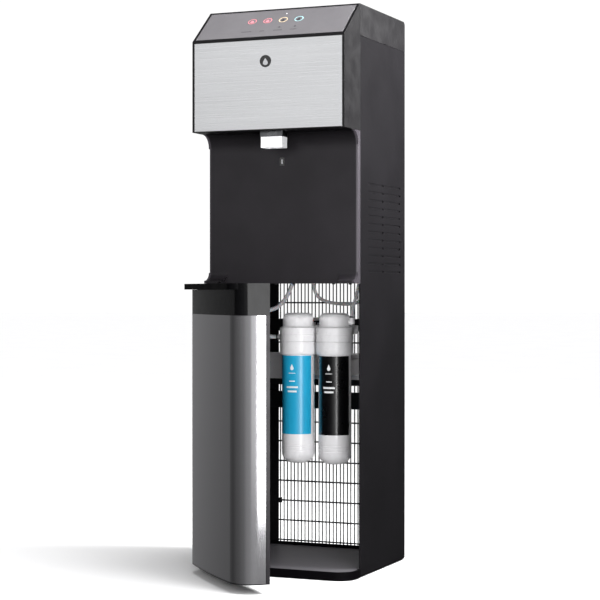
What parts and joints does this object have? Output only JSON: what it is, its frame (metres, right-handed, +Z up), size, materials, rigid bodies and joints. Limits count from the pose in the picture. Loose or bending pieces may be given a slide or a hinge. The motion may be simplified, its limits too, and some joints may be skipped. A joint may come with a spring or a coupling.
{
  "type": "bottleless water cooler",
  "caption": "Floor-standing bottleless water cooler: touch-key head over a nozzle alcove, and a lower cabinet whose hinged stainless door opens on two filter cartridges.",
  "frame": {"origin": "on the centre plane of the cabinet, in line with the front edges of the side panels, at floor level, on the flat underside of the plinth", "axes": "+X to the right as seen from the front, +Y to the back, +Z up; the door is hinged at -X and opens towards -Y"},
  "size_m": [0.3259, 0.5151, 1.04],
  "materials": {
    "plinth_black": "satin moulded",
    "foot_rubber": "matt",
    "floor_steel": "satin",
    "panel_paint": "fine texture, satin",
    "cover_plastic": "fine texture, satin",
    "rear_paint": "satin",
    "screw_steel": "bright",
    "head_plastic": "satin",
    "fascia_steel": "horizontal brush",
    "door_steel": "horizontal brush",
    "badge_black": "gloss",
    "panel_grey": "semi-gloss",
    "key_light": "lit from behind",
    "board_green": "solder mask",
    "alcove_plastic": "satin",
    "sensor_black": "gloss",
    "nozzle_chrome": "polished",
    "collar_silver": "silver",
    "tank_steel": "pickled",
    "deck_zinc": "galvanised",
    "compressor_paint": "gloss black",
    "mount_rubber": "matt",
    "condenser_paint": "black paint",
    "copper": "drawn copper",
    "foam": "foam",
    "float_plastic": "natural",
    "valve_plastic": "moulded",
    "switch_black": "moulded",
    "switch_red": "gloss",
    "switch_blue": "gloss",
    "fitting_white": "acetal",
    "rail_grey": "satin",
    "filter_white": "semi-gloss",
    "core_grey": "acetal",
    "label_blue": "printed film",
    "label_black": "printed film",
    "tube_grey": "polyethylene",
    "liner_plastic": "satin",
    "cap_black": "satin",
    "catch_black": "moulded",
    "tray_black": "satin"
  },
  "bodies": {
    "cabinet": {"base_plinth": "plinth_black", "rubber_feet": "foot_rubber", "floor_pan": "floor_steel", "left_side_panel": "panel_paint", "right_side_panel": "panel_paint", "top_cover": "cover_plastic", "rear_cover": "rear_paint", "rear_screws": "screw_steel", "head_shell": "head_plastic", "stainless_fascia": "fascia_steel", "fascia_badge": "badge_black", "control_panel": "panel_grey", "touch_lenses": "key_light", "control_board": "board_green", "alcove_panel": "alcove_plastic", "cup_sensor": "sensor_black", "nozzle_collar": "collar_silver", "nozzle_shroud": "nozzle_chrome", "water_spouts": "tank_steel", "mid_deck": "deck_zinc", "compressor": "compressor_paint", "compressor_mounts": "mount_rubber", "condenser_tube": "condenser_paint", "condenser_wires": "condenser_paint", "condenser_clips": "rear_paint", "refrigerant_lines": "copper", "cold_tank": "tank_steel", "evaporator_coil": "copper", "hot_tank": "tank_steel", "tank_insulation": "foam", "solenoid_valves": "valve_plastic", "power_board": "board_green", "switch_bezel": "switch_black", "cord_gland": "switch_black", "water_inlet_fitting": "fitting_white", "filter_crossbars": "rear_paint", "filter_rail": "rail_grey", "filter_head_1": "filter_white", "filter_head_2": "filter_white", "water_tubes": "tube_grey", "hinge_pins": "screw_steel", "magnetic_catch": "catch_black"},
    "door": {"door_liner": "liner_plastic", "door_skin": "door_steel", "door_top_cap": "cap_black", "door_bottom_cap": "cap_black", "strike_plate": "screw_steel"},
    "tray": {"drip_tray": "tray_black", "drip_grid": "tray_black"},
    "core_1": {"filter_core_1": "core_grey"},
    "core_2": {"filter_core_2": "core_grey"},
    "filter_1": {"cartridge_1": "filter_white", "cartridge_label_1": "label_blue"},
    "filter_2": {"cartridge_2": "filter_white", "cartridge_label_2": "label_black"},
    "float": {"tank_float": "float_plastic"},
    "hot_switch": {"hot_rocker": "switch_red"},
    "cold_switch": {"cold_rocker": "switch_blue"},
    "light_switch": {"light_rocker": "switch_black"},
    "drain_closure": {"drain_cap": "switch_black"}
  },
  "joints": [
    {"name": "door_hinge", "type": "hinge", "parent": "cabinet", "child": "door", "pos_m": [-0.14, -0.016, 0], "axis": [0, 0, -1], "range_deg": [-46.6, 63.4]},
    {"name": "tray_slide", "type": "slide", "parent": "door", "child": "tray", "axis": [-0.7266, -0.6871, 0], "range_m": [0, 0.06]},
    {"name": "filter_1_turn", "type": "hinge", "parent": "cabinet", "child": "core_1", "pos_m": [-0.0354, 0.148, 0.434], "axis": [0, 0, 1], "range_deg": [0, 90]},
    {"name": "filter_1_pull", "type": "slide", "parent": "core_1", "child": "filter_1", "axis": [0, 0, -1], "range_m": [0, 0.045]},
    {"name": "filter_2_turn", "type": "hinge", "parent": "cabinet", "child": "core_2", "pos_m": [0.0406, 0.148, 0.434], "axis": [0, 0, 1], "range_deg": [0, 90]},
    {"name": "filter_2_pull", "type": "slide", "parent": "core_2", "child": "filter_2", "axis": [0, 0, -1], "range_m": [0, 0.045]},
    {"name": "float_rise", "type": "slide", "parent": "cabinet", "child": "float", "axis": [0, 0, 1], "range_m": [0, 0.055]},
    {"name": "hot_switch_rock", "type": "hinge", "parent": "cabinet", "child": "hot_switch", "pos_m": [0.046, 0.241, 0.9], "axis": [-1, 0, 0], "range_deg": [0, 12]},
    {"name": "cold_switch_rock", "type": "hinge", "parent": "cabinet", "child": "cold_switch", "pos_m": [0.066, 0.241, 0.9], "axis": [-1, 0, 0], "range_deg": [0, 12]},
    {"name": "light_switch_rock", "type": "hinge", "parent": "cabinet", "child": "light_switch", "pos_m": [0.086, 0.241, 0.9], "axis": [-1, 0, 0], "range_deg": [0, 12]},
    {"name": "drain_cap_pull", "type": "slide", "parent": "cabinet", "child": "drain_closure", "axis": [0, 1, 0], "range_m": [0, 0.02]}
  ]
}
